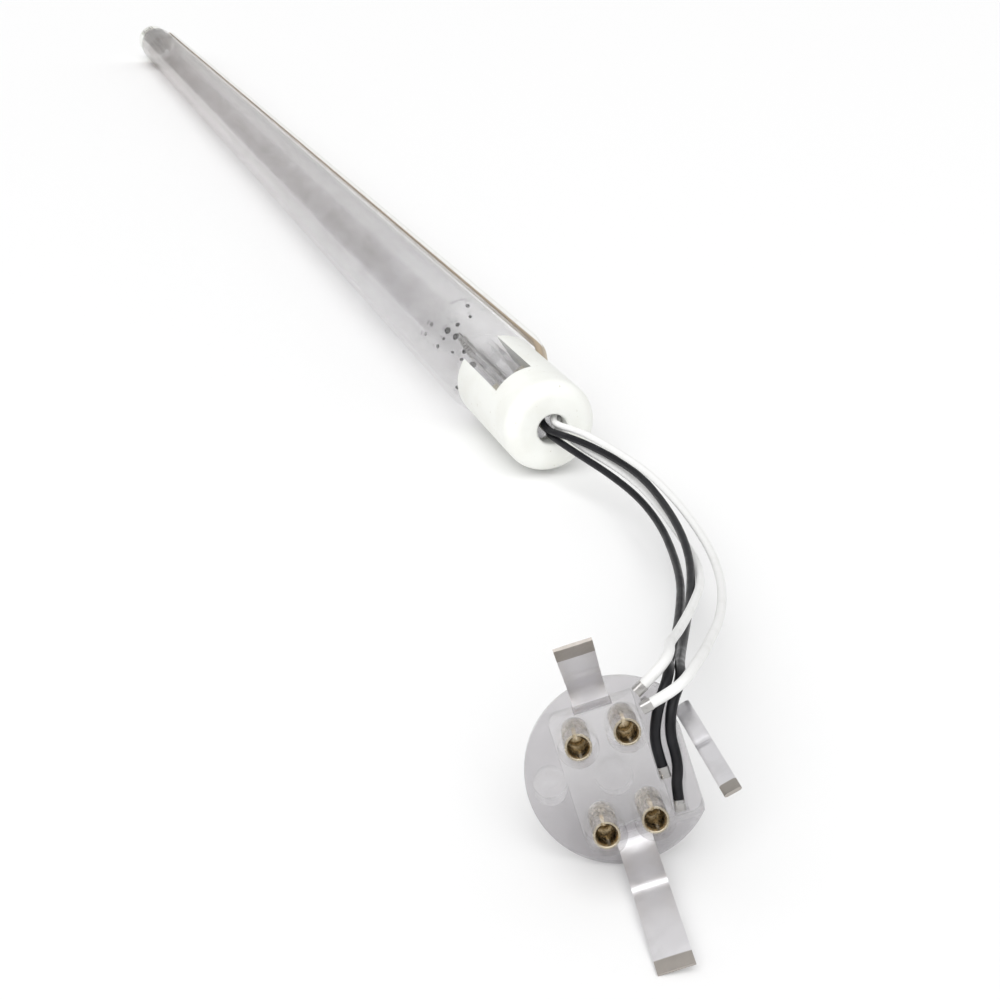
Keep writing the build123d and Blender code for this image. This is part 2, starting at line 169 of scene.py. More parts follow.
def end_eased(rings, ease):
    """Rings with two smaller copies at each end, which round the ends over by ease, a share of their size."""
    def shrunk(ring, share):
        middle = ring.mean(axis=0)
        return middle + (ring - middle) * share
    low = np.stack([shrunk(rings[0], 1 - ease), shrunk(rings[0], 1 - ease / 4)])
    high = np.stack([shrunk(rings[-1], 1 - ease / 4), shrunk(rings[-1], 1 - ease)])
    return np.concatenate([low, rings, high])


def rounded(points, rounds=3):
    """A line with its corners cut: each round puts two points on each run, a quarter from its ends."""
    line = np.asarray(points, float)
    for _ in range(rounds):
        near = 0.75 * line[:-1] + 0.25 * line[1:]
        far = 0.25 * line[:-1] + 0.75 * line[1:]
        middle = np.stack([near, far], axis=1).reshape(-1, line.shape[1])
        line = np.concatenate([line[:1], middle[1:-1], line[-1:]])
    return line


def turned(profile, count):
    """A profile of radius and height turned about Z: rings of count points."""
    angle = 2 * np.pi * np.arange(count) / count
    radius, height = np.asarray(profile, float).T
    x = radius[:, None] * np.cos(angle)
    y = radius[:, None] * np.sin(angle)
    return np.stack([x, y, np.broadcast_to(height[:, None], x.shape)], axis=-1)


def joined(skins):
    """Several skins of points and faces as one."""
    points = np.concatenate([skin[0] for skin in skins])
    faces = []
    start = 0
    for part_points, part_faces in skins:
        faces += [[start + corner for corner in face] for face in part_faces]
        start += len(part_points)
    return points, faces


def finish_piece(piece, nodes, material):
    """Give a piece its finish, let it ride with the lamp and stand for its CAD nodes."""
    piece.data.materials.clear()
    piece.data.materials.append(material)
    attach(piece, "root")
    if nodes:
        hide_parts(*nodes)
    return piece


def make_piece(name, skin, nodes, material, sharp=40.0):
    """A mesh object from points and faces, smooth but for edges sharper than an angle in degrees."""
    points, faces = skin
    mesh = bpy.data.meshes.new(name)
    mesh.from_pydata(points.tolist(), [], faces)
    mesh.shade_smooth()
    mesh.set_sharp_from_angle(angle=radians(sharp))
    piece = bpy.data.objects.new(name, mesh)
    bpy.context.scene.collection.objects.link(piece)
    return finish_piece(piece, nodes, material)


# Copies of CAD nodes: points nearer than MERGE, in metres, become one, and angles are in degrees
MERGE = 2e-6
SAME_FLAT = 0.5
SHARP_FROM = 28.0
BEVEL_FROM = 35.0


def rounded_copy(node, name, material, edge):
    """A smooth copy of a CAD node with its flats joined and its edges rounded by edge, in millimetres."""
    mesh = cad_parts[node].data.copy()
    mesh.name = name
    work = bmesh.new()
    work.from_mesh(mesh)
    bmesh.ops.remove_doubles(work, verts=work.verts, dist=MERGE)
    bmesh.ops.dissolve_limit(work, angle_limit=radians(SAME_FLAT), verts=work.verts, edges=work.edges)
    work.to_mesh(mesh)
    work.free()
    mesh.shade_smooth()
    mesh.set_sharp_from_angle(angle=radians(SHARP_FROM))
    piece = bpy.data.objects.new(name, mesh)
    bpy.context.scene.collection.objects.link(piece)
    if edge:
        bevel = piece.modifiers.new("rounded edges", "BEVEL")
        bevel.width = edge * MM
        bevel.segments = 2
        bevel.limit_method = "ANGLE"
        bevel.angle_limit = radians(BEVEL_FROM)
        bevel.harden_normals = True
    return finish_piece(piece, [node], material)


# Materials

class Finish:
    """A procedural material on Object coordinates, built up by the calls that a finish needs."""

    def __init__(self, name, color, roughness, **sockets):
        self.material = bpy.data.materials.new(name)
        self.material.use_nodes = True
        self.nodes = self.material.node_tree.nodes
        self.links = self.material.node_tree.links
        self.shader = self.nodes["Principled BSDF"]
        self.color = tuple(color[:3]) + (1.0,)
        self.shader.inputs["Base Color"].default_value = self.color
        self.shader.inputs["Roughness"].default_value = roughness
        for socket, value in sockets.items():
            self.shader.inputs[socket.replace("_", " ")].default_value = value
        self.place = self.nodes.new("ShaderNodeTexCoord").outputs["Object"]
        self.height = None

    def noise(self, size, detail, stretch=(1.0, 1.0, 1.0)):
        """Noise with features of a size in millimetres, drawn out along an axis where stretch is small."""
        mapping = self.nodes.new("ShaderNodeMapping")
        mapping.vector_type = "TEXTURE"
        mapping.inputs["Scale"].default_value = [1 / s for s in stretch]
        texture = self.nodes.new("ShaderNodeTexNoise")
        texture.inputs["Scale"].default_value = 1 / (size * MM)
        texture.inputs["Detail"].default_value = detail
        self.links.new(self.place, mapping.inputs["Vector"])
        self.links.new(mapping.outputs["Vector"], texture.inputs["Vector"])
        return texture.outputs["Fac"]

    def along(self, direction, origin):
        """Distance from an origin along a direction, in metres."""
        offset = self.nodes.new("ShaderNodeVectorMath")
        offset.operation = "SUBTRACT"
        offset.inputs[1].default_value = tuple(origin)
        product = self.nodes.new("ShaderNodeVectorMath")
        product.operation = "DOT_PRODUCT"
        product.inputs[1].default_value = tuple(direction)
        self.links.new(self.place, offset.inputs[0])
        self.links.new(offset.outputs["Vector"], product.inputs[0])
        return product.outputs["Value"]

    def both(self, first, second):
        """One value times another."""
        times = self.nodes.new("ShaderNodeMath")
        times.operation = "MULTIPLY"
        self.links.new(first, times.inputs[0])
        self.links.new(second, times.inputs[1])
        return times.outputs["Value"]

    def sum_of(self, first, second):
        """Two values added, and held at 1."""
        plus = self.nodes.new("ShaderNodeMath")
        plus.operation = "ADD"
        plus.use_clamp = True
        self.links.new(first, plus.inputs[0])
        self.links.new(second, plus.inputs[1])
        return plus.outputs["Value"]

    def ranged(self, value, low, high, to_low, to_high):
        """A value carried from one range to another, held at its ends."""
        ranged = self.nodes.new("ShaderNodeMapRange")
        limits = {"From Min": low, "From Max": high, "To Min": to_low, "To Max": to_high}
        for socket, number in limits.items():
            ranged.inputs[socket].default_value = number
        self.links.new(value, ranged.inputs["Value"])
        return ranged.outputs["Result"]

    def tint(self, value, other):
        """Mix the base colour towards another where value is high."""
        mix = self.nodes.new("ShaderNodeMix")
        mix.data_type = "RGBA"
        colors = [socket for socket in mix.inputs if socket.type == "RGBA"]
        base = self.shader.inputs["Base Color"]
        if base.is_linked:
            self.links.new(base.links[0].from_socket, colors[0])
        else:
            colors[0].default_value = self.color
        colors[1].default_value = tuple(other[:3]) + (1.0,)
        self.links.new(value, mix.inputs["Factor"])
        result = [socket for socket in mix.outputs if socket.type == "RGBA"][0]
        self.links.new(result, base)

    def rough(self, value, low, high):
        """Let the roughness run from low to high with a value from 0.3 to 0.7."""
        self.links.new(self.ranged(value, 0.3, 0.7, low, high), self.shader.inputs["Roughness"])

    def bump(self, value, height, strength=1.0):
        """Raise the surface by up to height, in millimetres, where value is high."""
        bump = self.nodes.new("ShaderNodeBump")
        bump.inputs["Distance"].default_value = height * MM
        bump.inputs["Strength"].default_value = strength
        self.links.new(value, bump.inputs["Height"])
        if self.height:
            self.links.new(self.height, bump.inputs["Normal"])
        self.height = bump.outputs["Normal"]
        self.links.new(self.height, self.shader.inputs["Normal"])


# Marks on the quartz, in millimetres from the base's end face. A cloud starts, is full, thins and ends at
# four places round its coil.
SEAL_FADE = (29.0, 27.0)
BASE_CLOUD = (-12.0, 0.0, 4.0, 30.0)
TIP_CLOUD = (-30.0, -8.0, 8.0, 20.0)
STREAK_FADE = (50.0, 120.0)
AGED_FADE = (50.0, 550.0)
WINDOW_FADE = (45.0, 85.0)

# The streak lies on the lower wall, this far from the axis in this direction
STREAK_SIDE = (0.68, 0.0, -0.73)
STREAK_EDGE = (8.2, 8.8)


def metres(pair):
    """A pair of millimetres as metres."""
    return pair[0] * MM, pair[1] * MM


def quartz_finish():
    """Drawn quartz: clear by the base, greyer and warmer towards the tip, with draw lines and a grey seal.

    Brown deposits lie in two clouds, one round each electrode, and in a streak along the lower wall.
    """
    glass = Finish("drawn_quartz", (0.84, 0.83, 0.86), 0.03, IOR=1.458, Transmission_Weight=1.0)
    lines = glass.noise(1.6, 3.0, stretch=(1.0, 0.02, 1.0))
    glass.bump(lines, 0.02, 0.5)
    haze = glass.noise(14.0, 3.0, stretch=(1.0, 0.3, 1.0))
    glass.rough(haze, 0.02, 0.12)
    glass.tint(glass.ranged(haze, 0.45, 0.75, 0.0, 1.0), (0.76, 0.75, 0.77))
    station = glass.along((0.0, 1.0, 0.0), LAMP_ORIGIN)

    def cloud_round(coil, places, share):
        start, full, thins, end = [(coil + place) * MM for place in places]
        rise = glass.ranged(station, start, full, 0.0, share)
        fall = glass.ranged(station, end, thins, 0.0, 1.0)
        return glass.both(rise, fall)

    patches = glass.ranged(glass.noise(5.0, 4.0, stretch=(1.0, 0.4, 1.0)), 0.35, 0.6, 0.4, 1.0)
    near_tip = cloud_round(LENGTH - TIP_SHIFT - COIL_AT, TIP_CLOUD, 1.0)
    near_base = cloud_round(COIL_AT, BASE_CLOUD, 0.35)
    low_wall = glass.ranged(glass.along(STREAK_SIDE, LAMP_ORIGIN), *metres(STREAK_EDGE), 0.0, 0.7)
    streak = glass.both(low_wall, glass.ranged(station, *metres(STREAK_FADE), 0.0, 1.0))
    stain = glass.both(glass.sum_of(glass.sum_of(near_tip, near_base), streak), patches)
    seal = glass.ranged(station, *metres(SEAL_FADE), 0.0, 1.0)
    glass.tint(glass.ranged(station, *metres(AGED_FADE), 0.0, 1.0), (0.58, 0.51, 0.50))
    glass.tint(seal, (0.50, 0.49, 0.51))
    glass.tint(stain, (0.26, 0.19, 0.15))
    cover = glass.ranged(glass.sum_of(stain, seal), 0.0, 1.0, 0.0, 0.4)
    clear_window = glass.ranged(station, *metres(WINDOW_FADE), 0.12, 0.4)
    glass.links.new(glass.sum_of(cover, clear_window), glass.shader.inputs["Alpha"])
    return glass.material


def ceramic_finish(color):
    """Pressed steatite: creamy white, with fine grain, small pits and a few faint brown marks."""
    ceramic = Finish("pressed_ceramic", color, 0.42, Coat_Weight=0.12, Coat_Roughness=0.3)
    cloud = ceramic.noise(5.0, 5.0)
    ceramic.tint(ceramic.ranged(cloud, 0.45, 0.75, 0.0, 0.6), (0.81, 0.81, 0.75))
    speck = ceramic.noise(0.9, 2.0)
    ceramic.tint(ceramic.ranged(speck, 0.70, 0.76, 0.0, 0.5), (0.52, 0.48, 0.38))
    grain = ceramic.noise(0.25, 6.0)
    ceramic.bump(grain, 0.03, 0.6)
    ceramic.bump(cloud, 0.12, 0.3)
    ceramic.rough(grain, 0.34, 0.55)
    return ceramic.material


def metal_finish(name, color, dull, line_axis, roughness=(0.2, 0.42), line_size=0.5):
    """Rolled or drawn metal: fine lines along one axis, with duller patches."""
    metal = Finish(name, color, 0.3, Metallic=1.0)
    stretch = [1.0, 1.0, 1.0]
    stretch[line_axis] = 0.04
    lines = metal.noise(line_size, 4.0, stretch=stretch)
    patches = metal.noise(3.0, 4.0)
    metal.tint(metal.ranged(patches, 0.45, 0.75, 0.0, 0.45), dull)
    metal.rough(lines, *roughness)
    metal.bump(lines, 0.012, 0.5)
    return metal.material


# A painted reflection band at a leg's free end, brownish where the bent tip reflects darker surroundings,
# starts at this height over the cap's disc, in millimetres, and the height grows by the tilt below times the
# place along the cap's second axis
REFLECTION_BAND_EDGE = (13.6, 13.7)
REFLECTION_BAND_TILT = 0.0485


def strip_finish(color):
    """Plated spring steel: satin, rolled along the strip, with a brownish painted reflection band at the free
    end.
    """
    steel = Finish("spring_strip_steel", color, 0.38, Metallic=0.7)
    lines = steel.noise(0.5, 3.0, stretch=(1.0, 1.0, 0.08))
    steel.rough(lines, 0.3, 0.46)
    steel.bump(lines, 0.01, 0.4)
    patches = steel.noise(2.5, 4.0)
    steel.tint(steel.ranged(patches, 0.5, 0.8, 0.0, 0.35), (0.56, 0.55, 0.55))
    height = steel.along(CAP_NORMAL + REFLECTION_BAND_TILT * CAP_AXES[1], CAP_ORIGIN)
    # Painted reflection: the bent free end is tinted brown-grey where its facet would reflect darker
    # surroundings
    steel.tint(steel.ranged(height, *metres(REFLECTION_BAND_EDGE), 0.0, 1.0), (0.40, 0.37, 0.34))
    return steel.material


# A lead with a tan side is tan on its side towards the glass: up to here from the lamp's axis, in millimetres
TAN_SIDE_EDGE = (10.1, 9.9)


def insulation_finish(name, color, worn, tan_side=False):
    """Satin wire insulation: slight flow marks along the lead and small scuffs.

    One with the tan side set is tan on the side towards the glass.
    """
    sleeve = Finish(name, color, 0.38, Specular_IOR_Level=0.3)
    marks = sleeve.noise(2.5, 4.0)
    sleeve.tint(sleeve.ranged(marks, 0.5, 0.8, 0.0, 0.7), worn)
    sleeve.rough(marks, 0.28, 0.5)
    fine = sleeve.noise(0.3, 3.0)
    sleeve.bump(fine, 0.015, 0.5)
    if tan_side:
        reach = sleeve.along(LAMP_AXES[1], LAMP_ORIGIN)
        sleeve.tint(sleeve.ranged(reach, *metres(TAN_SIDE_EDGE), 0.0, 1.0), (0.40, 0.32, 0.23))
    return sleeve.material


# How solid the clear moulding looks in its disc and in the bosses. Between them it fades over these heights.
DISC_ALPHA = 0.6
BOSS_ALPHA = 0.3
DISC_TOP = (2.2, 3.5)


def clear_plastic_finish(color):
    """Clear moulding: slightly smoky, clearer above the disc, with flow lines and a fine haze."""
    plastic = Finish("clear_moulding", color, 0.1, IOR=1.49, Transmission_Weight=0.85, Alpha=DISC_ALPHA)
    flow = plastic.noise(4.0, 3.0)
    plastic.bump(flow, 0.12, 0.4)
    haze = plastic.noise(1.2, 5.0)
    plastic.rough(haze, 0.05, 0.2)
    plastic.tint(plastic.ranged(flow, 0.4, 0.75, 0.0, 1.0), (0.38, 0.36, 0.38))
    height = plastic.along(CAP_NORMAL, CAP_ORIGIN)
    alpha = plastic.ranged(height, *metres(DISC_TOP), DISC_ALPHA, BOSS_ALPHA)
    plastic.links.new(alpha, plastic.shader.inputs["Alpha"])
    return plastic.material


def coating_finish():
    """Emissive coating on the coil: pale grey, crumbly."""
    coating = Finish("coil_coating", (0.46, 0.45, 0.43), 0.75)
    crumbs = coating.noise(0.35, 5.0)
    coating.tint(coating.ranged(crumbs, 0.4, 0.7, 0.0, 1.0), (0.2, 0.19, 0.18))
    coating.bump(crumbs, 0.08, 0.8)
    return coating.material


def cement_finish():
    """Dry cement: buff and grainy."""
    cement = Finish("dry_cement", (0.66, 0.63, 0.55), 0.9)
    grain = cement.noise(0.5, 6.0)
    cement.tint(cement.ranged(grain, 0.4, 0.7, 0.0, 1.0), (0.5, 0.47, 0.4))
    cement.bump(grain, 0.1, 0.8)
    return cement.material


def mercury_finish():
    """Liquid metal: near mirror, a little darker where a skin lies on it."""
    mercury = Finish("mercury", (0.05, 0.05, 0.05), 0.12, Metallic=0.8)
    skin = mercury.noise(0.6, 3.0)
    mercury.tint(mercury.ranged(skin, 0.45, 0.65, 0.0, 1.0), (0.02, 0.02, 0.015))
    mercury.rough(skin, 0.05, 0.3)
    return mercury.material


# Settings that a user would change

class TubeSettings(PropertyGroup):
    glass_radius: FloatProperty(
        name="Glass radius", description="Outer radius of the quartz tube", default=GLASS_R * MM,
        min=0.004, max=0.02, unit="LENGTH",
    )
    wall: FloatProperty(
        name="Wall", description="Thickness of the quartz", default=WALL * MM, min=0.0005, max=0.003,
        unit="LENGTH",
    )
    facets: IntProperty(
        name="Points round", description="Points round each ring of the glass", default=112, min=24, max=256,
    )


class CeramicSettings(PropertyGroup):
    color: FloatVectorProperty(
        name="Ceramic colour", description="Colour of both ceramic ends", subtype="COLOR", size=3,
        default=(0.90, 0.91, 0.87), min=0, max=1,
    )
    edge: FloatProperty(
        name="Edge", description="Rounding of the pressed edges", default=0.12 * MM, min=0, max=0.001,
        unit="LENGTH",
    )


class LeadSettings(PropertyGroup):
    diameter: FloatProperty(
        name="Lead diameter", description="Outer diameter of the loose leads", default=LEAD_D * MM,
        min=0.0008, max=0.003, unit="LENGTH",
    )
    black: FloatVectorProperty(
        name="Black insulation", description="Colour of the two dark leads", subtype="COLOR", size=3,
        default=(0.008, 0.008, 0.010), min=0, max=1,
    )
    white: FloatVectorProperty(
        name="White insulation", description="Colour of the two pale leads", subtype="COLOR", size=3,
        default=(0.86, 0.86, 0.85), min=0, max=1,
    )


class CapSettings(PropertyGroup):
    color: FloatVectorProperty(
        name="Moulding colour", description="Tint of the clear cap", subtype="COLOR", size=3,
        default=(0.50, 0.48, 0.50), min=0, max=1,
    )
    steel: FloatVectorProperty(
        name="Leg colour", description="Colour of the spring legs", subtype="COLOR", size=3,
        default=(0.84, 0.83, 0.85), min=0, max=1,
    )
    contact: FloatVectorProperty(
        name="Contact colour", description="Colour of the plated contacts", subtype="COLOR", size=3,
        default=(0.62, 0.55, 0.43), min=0, max=1,
    )
    strip: FloatProperty(
        name="Strip thickness", description="Thickness of the spring legs", default=0.35 * MM,
        min=0.0001, max=0.001, unit="LENGTH",
    )


class StageSettings(PropertyGroup):
    floor: FloatVectorProperty(
        name="Floor colour", description="Colour of the pale floor", subtype="COLOR", size=3,
        default=(0.93, 0.93, 0.93), min=0, max=1,
    )
    light: FloatProperty(
        name="Key light", description="Strength of the wide overhead light", default=2.15, min=0, max=50,
    )
    surround: FloatProperty(
        name="Surround", description="Brightness of the pale room", default=0.55, min=0, max=5,
    )


# Loose leads

WIRE_GAP = 0.8
LAST_RUN = 1.6

# Routes, as in the part: inside the base in the lamp frame, over the floor with Y from the base's end face, at
# the cap in its frame, and the end in the terminal with the heading of its last run in degrees
ROUTES = {
    "black_lead_left": (
        [(-FEED_X, 0, SLEEVE_START), (-FEED_X, 0, 5.0),
         (-WIRE_GAP, -WIRE_GAP, 1.4), (-WIRE_GAP, -WIRE_GAP, -1.0)],
        [(1.9, -6.9, 7.4), (4.7, -14.3, 6.3), (6.3, -22.7, 5.4), (5.6, -32.3, 4.9), (2.5, -43.0, 5.4),
         (-1.5, -53.0, 6.8), (-6.2, -61.8, 8.4), (-10.7, -69.6, 9.8), (-15.1, -76.6, 11.6)],
        [(9.35, 7.4, -9.5), (8.9, 8.2, -4.6), (8.6, 8.7, -0.4), (7.8, 7.9, 1.8), (6.4, 6.4, 2.85),
         (5.2, 4.2, 2.8), (4.65, 2.6, 2.7)],
        (4.5, -0.5, 2.7, 270.0),
    ),
    "black_lead_right": (
        [(FEED_X, 0, SLEEVE_START), (FEED_X, 0, 5.0),
         (WIRE_GAP, -WIRE_GAP, 1.4), (WIRE_GAP, -WIRE_GAP, -1.0)],
        [(2.3, -6.4, 9.7), (5.2, -14.0, 9.3), (6.5, -22.8, 9.2), (5.5, -32.8, 9.2), (3.3, -43.3, 9.4),
         (0.2, -52.3, 9.4), (-4.0, -60.5, 9.75), (-8.75, -68.4, 10.65), (-13.7, -76.6, 12.1)],
        [(10.6, 7.05, -9.5), (10.0, 7.5, -4.6), (9.6, 7.75, -0.4), (8.8, 6.9, 1.6), (7.35, 5.45, 2.8),
         (6.3, 2.6, 2.75), (6.25, 0.2, 2.7), (5.95, -1.5, 2.7)],
        (5.1, -4.4, 2.7, 262.0),
    ),
    "white_lead_outer": (
        [(RETURN_X, 3.4, SLEEVE_START), (RETURN_X, 3.4, 5.0),
         (WIRE_GAP, 0.95, 1.4), (WIRE_GAP, 0.95, -1.0)],
        [(3.0, -6.4, 11.1), (5.3, -15.0, 10.8), (6.7, -24.4, 10.7), (6.4, -35.0, 10.5), (4.9, -45.6, 10.5),
         (2.4, -55.1, 11.0), (-1.8, -65.0, 12.3), (-7.5, -74.6, 14.2), (-13.6, -82.5, 16.4)],
        [(13.0, 8.2, -4.4), (11.1, 8.1, 0.4), (9.7, 7.8, 3.25), (8.45, 7.5, 4.4)],
        (5.35, 6.85, 5.0, 192.0),
    ),
    "white_lead_inner": (
        [(-RETURN_X, 3.4, SLEEVE_START), (-RETURN_X, 3.4, 5.0),
         (-WIRE_GAP, 0.95, 1.4), (-WIRE_GAP, 0.95, -1.0)],
        [(3.1, -6.4, 8.1), (5.3, -13.2, 7.7), (6.9, -21.4, 7.1), (6.6, -29.9, 6.6), (5.6, -38.5, 6.3),
         (3.1, -48.9, 7.4), (-1.75, -59.2, 10.15), (-8.0, -68.4, 12.9), (-14.1, -76.5, 15.1)],
        [(10.6, 9.8, -9.5), (9.6, 10.3, -4.2), (9.15, 10.4, -0.2), (8.3, 10.0, 1.75)],
        (5.25, 8.5, 2.9, 207.0),
    ),
}


def route(name):
    """All points of a lead in metres. Its last run is in line with its terminal."""
    inside, outside, at_cap, (x, y, z, heading) = ROUTES[name]
    back = LAST_RUN * np.array([np.cos(radians(heading)), np.sin(radians(heading)), 0.0])
    end = np.array([x, y, z])
    loose = (np.array(outside) - [0.0, LENGTH / 2, 0.0]) * MM
    return np.concatenate([on_lamp(inside), loose, on_cap(at_cap), on_cap([end - back, end])])


class LAMP_OT_leads(Operator):
    """Lay the four loose leads from the ceramic base to the cap"""
    bl_idname = "lamp.leads"
    bl_label = "Loose leads"

    def execute(self, context):
        settings = context.scene.lamp_leads
        looks = {
            "black_lead": insulation_finish("black_insulation", settings.black, (0.022, 0.022, 0.026)),
            "white_lead": insulation_finish("white_insulation", settings.white, (0.78, 0.78, 0.76)),
        }
        for name in ROUTES:
            points = route(name)
            curve = bpy.data.curves.new(name + "_wire", "CURVE")
            curve.dimensions = "3D"
            curve.resolution_u = 8
            curve.bevel_depth = settings.diameter / 2
            curve.bevel_resolution = 5
            curve.use_fill_caps = True
            spline = curve.splines.new("NURBS")
            spline.points.add(len(points) - 1)
            spline.points.foreach_set("co", np.c_[points, np.ones(len(points))].ravel())
            spline.order_u = 3
            spline.use_endpoint_u = True
            piece = bpy.data.objects.new(name + "_wire", curve)
            context.scene.collection.objects.link(piece)
            slot = name.rsplit("_", 1)[0]
            curve.materials.append(looks[slot])
            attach(piece, "root")
            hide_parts(name)
        return {"FINISHED"}


# Quartz tube

# Pinch seal, in millimetres. It has a recess over the foils on each flat and a low rib along each edge. Pairs
# are the places where a form starts and where it is full.
BLADE_HALF_W = 7.5
BLADE_HALF_T = 2.5
BLADE_POWER = 14
FLAT_FROM = 1.4
RECESS_DEPTH = 0.6
RECESS_SIDE = (4.3, 3.9)
RECESS_START = (11.4, 11.9)
RECESS_END = (21.0, 20.4)
RIB_HEIGHT = 0.18
RIB_SIDE = (5.2, 5.8)
RIB_START = (10.8, 11.4)
NECK = (28.5, 33.0)
BLEND_POWER = 8

# Stations of the seal's rings, and how far its end is drawn in at the first three
BLADE_EASE = (0.0, 0.12, 0.4)
BLADE_SHRINK = (0.93, 0.975, 1.0)
BLADE_STATIONS = (11.4, 11.6, 11.9, 14.0, 17.0, 20.2, 20.5, 20.8, 21.2, 23.0, 25.0, 25.8)
DOME_RINGS = 22


def seal_ring(station, radius, around, solid):
    """One ring of the tube's skin, at a station in millimetres from the base end.

    By angle, the reach is the larger of the dome's circle and, on the outside, the pinch seal's rounded
    rectangle, blended as the eighth root of the sum of eighth powers.
    """
    angle = 2 * np.pi * (np.arange(around) + 0.5) / around
    x, y = np.cos(angle), np.sin(angle)
    depth = max(0.0, DOME_CENTRE - station)
    dome = np.full(around, np.sqrt(max(radius ** 2 - depth ** 2, 1e-6)))
    if not solid:
        return np.stack([x * dome, y * dome, np.full(around, station)], axis=-1)
    wide, thick = np.abs(x / BLADE_HALF_W), np.abs(y / BLADE_HALF_T)
    flat = (wide ** BLADE_POWER + thick ** BLADE_POWER) ** (-1 / BLADE_POWER)
    across = np.abs(x * flat)
    lengthways = smooth_step(*RECESS_START, station) * smooth_step(*RECESS_END, station)
    recess = RECESS_DEPTH * smooth_step(*RECESS_SIDE, across) * lengthways
    rib = RIB_HEIGHT * smooth_step(*RIB_SIDE, across) * smooth_step(*RIB_START, station)
    flat = flat * (1 + (rib - recess) / BLADE_HALF_T * (np.abs(y * flat) > FLAT_FROM))
    fade = 1 - smooth_step(*NECK, station)
    reach = (dome ** BLEND_POWER + (flat * fade) ** BLEND_POWER) ** (1 / BLEND_POWER)
    reach = np.minimum(reach, np.maximum(radius, flat * fade))
    return np.stack([x * reach, y * reach, np.full(around, station)], axis=-1)


def tube_skin(radius, around, solid):
    """Rings of the tube from end to end: the base end's stations, then the same carried to the tip."""
    dome_angles = np.linspace(0, np.pi / 2, DOME_RINGS)
    dome = DOME_CENTRE - radius * np.cos(dome_angles)
    if solid:
        ease = BLADE_START + np.array(BLADE_EASE)
        stations = np.concatenate([ease, BLADE_STATIONS, dome[1:]])
    else:
        stations = dome
    rings = np.stack([seal_ring(station, radius, around, solid) for station in stations])
    if solid:
        rings[:len(BLADE_SHRINK), :, :2] *= np.array(BLADE_SHRINK)[:, None, None]
    far = from_tip(rings)[::-1, ::-1]
    return np.concatenate([rings, far])


class LAMP_OT_glass(Operator):
    """Draw the quartz tube with its domed ends and flat pinch seals"""
    bl_idname = "lamp.glass"
    bl_label = "Quartz tube"

    def execute(self, context):
        settings = context.scene.lamp_tube
        outer = tube_skin(settings.glass_radius / MM, settings.facets, True)
        inner = tube_skin((settings.glass_radius - settings.wall) / MM, settings.facets, False)
        skins = [loft(on_lamp(outer)), loft(on_lamp(inner), hollow=True)]
        make_piece("glass_envelope", joined(skins), ["quartz_tube"], quartz_finish())
        return {"FINISHED"}


# Ceramic ends

class LAMP_OT_ceramics(Operator):
    """Finish the two pressed ceramic ends and their cement"""
    bl_idname = "lamp.ceramics"
    bl_label = "Ceramic ends"

    def execute(self, context):
        settings = context.scene.lamp_ceramic
        look = ceramic_finish(settings.color)
        for end in ("base", "tip"):
            rounded_copy("ceramic_" + end, "ceramic_end_" + end, look, settings.edge / MM)
        cement = cement_finish()
        for node in ("base_cement", "tip_cement"):
            dress(node, cement)
        return {"FINISHED"}


def dress(node, material):
    """Put a material on a CAD node that stays in sight."""
    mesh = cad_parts[node].data
    mesh.materials.clear()
    mesh.materials.append(material)


# Electrodes, feed-throughs and mercury

COIL_TURNS = 8
COIL_R = 0.72
COIL_WIRE_R = 0.26
COIL_STEPS = 24
POST_R = 0.35
COIL_END = 0.04


def coil_skin():
    """Coated coil: a thick wire along a helix about X, with its two ends run straight to the posts."""
    t = np.linspace(0, 1, COIL_STEPS * COIL_TURNS)
    angle = 2 * np.pi * COIL_TURNS * t
    half = FEED_X - POST_R
    swell = COIL_R * smooth_step(0, COIL_END, t) * smooth_step(1, 1 - COIL_END, t)
    x = -half + 2 * half * t
    centre = np.stack([x, swell * np.cos(angle), COIL_AT + swell * np.sin(angle)], axis=-1)
    tangent_side = np.stack([np.ones_like(t), np.zeros_like(t), np.zeros_like(t)], axis=-1)
    rings = sweep(centre, tangent_side, section(COIL_WIRE_R, COIL_WIRE_R, power=2, count=8))
    return end_eased(rings, 0.5)


# Drops of mercury on the wall, as in the part: station, angle in degrees and radius
BEADS = [
    (49.9, 35.0, 0.5), (51.0, 334.0, 0.45), (51.8, 317.0, 0.45), (43.4, 317.0, 0.45), (43.2, 344.0, 0.75),
    (41.7, 0.0, 0.5), (38.4, 346.0, 0.7), (63.8, 176.0, 0.65), (55.6, 183.0, 0.9), (44.4, 235.0, 0.5),
    (61.5, 189.0, 0.45), (42.6, 22.0, 0.4), (41.9, 332.0, 0.35), (67.2, 191.0, 0.35),
]
DROP_FLATNESS = 0.72
DROP_GAP = 0.03
DROP_WAVE = 0.08


def drop_skin(station, degrees, radius):
    """A drop on the inside of the wall: a ball flattened against the glass, with a wavy outline."""
    around, rows = 20, 12
    lift = np.linspace(0.02, np.pi - 0.02, rows)
    profile = np.stack([np.sin(lift), -DROP_FLATNESS * np.cos(lift)], axis=-1) * radius
    rings = turned(profile, around)
    angle = 2 * np.pi * np.arange(around) / around
    rings[:, :, 0] *= 1 + DROP_WAVE * np.sin(2 * angle + station)
    rings[:, :, 1] *= 1 + DROP_WAVE * np.cos(3 * angle + degrees)
    turn = radians(degrees)
    outward = np.array([np.cos(turn), np.sin(turn), 0.0])
    along = np.array([0.0, 0.0, 1.0])
    axes = np.stack([np.cross(along, outward), along, outward])
    centre = outward * (GLASS_R - WALL - DROP_FLATNESS * radius - DROP_GAP) + along * station
    return rings @ axes + centre


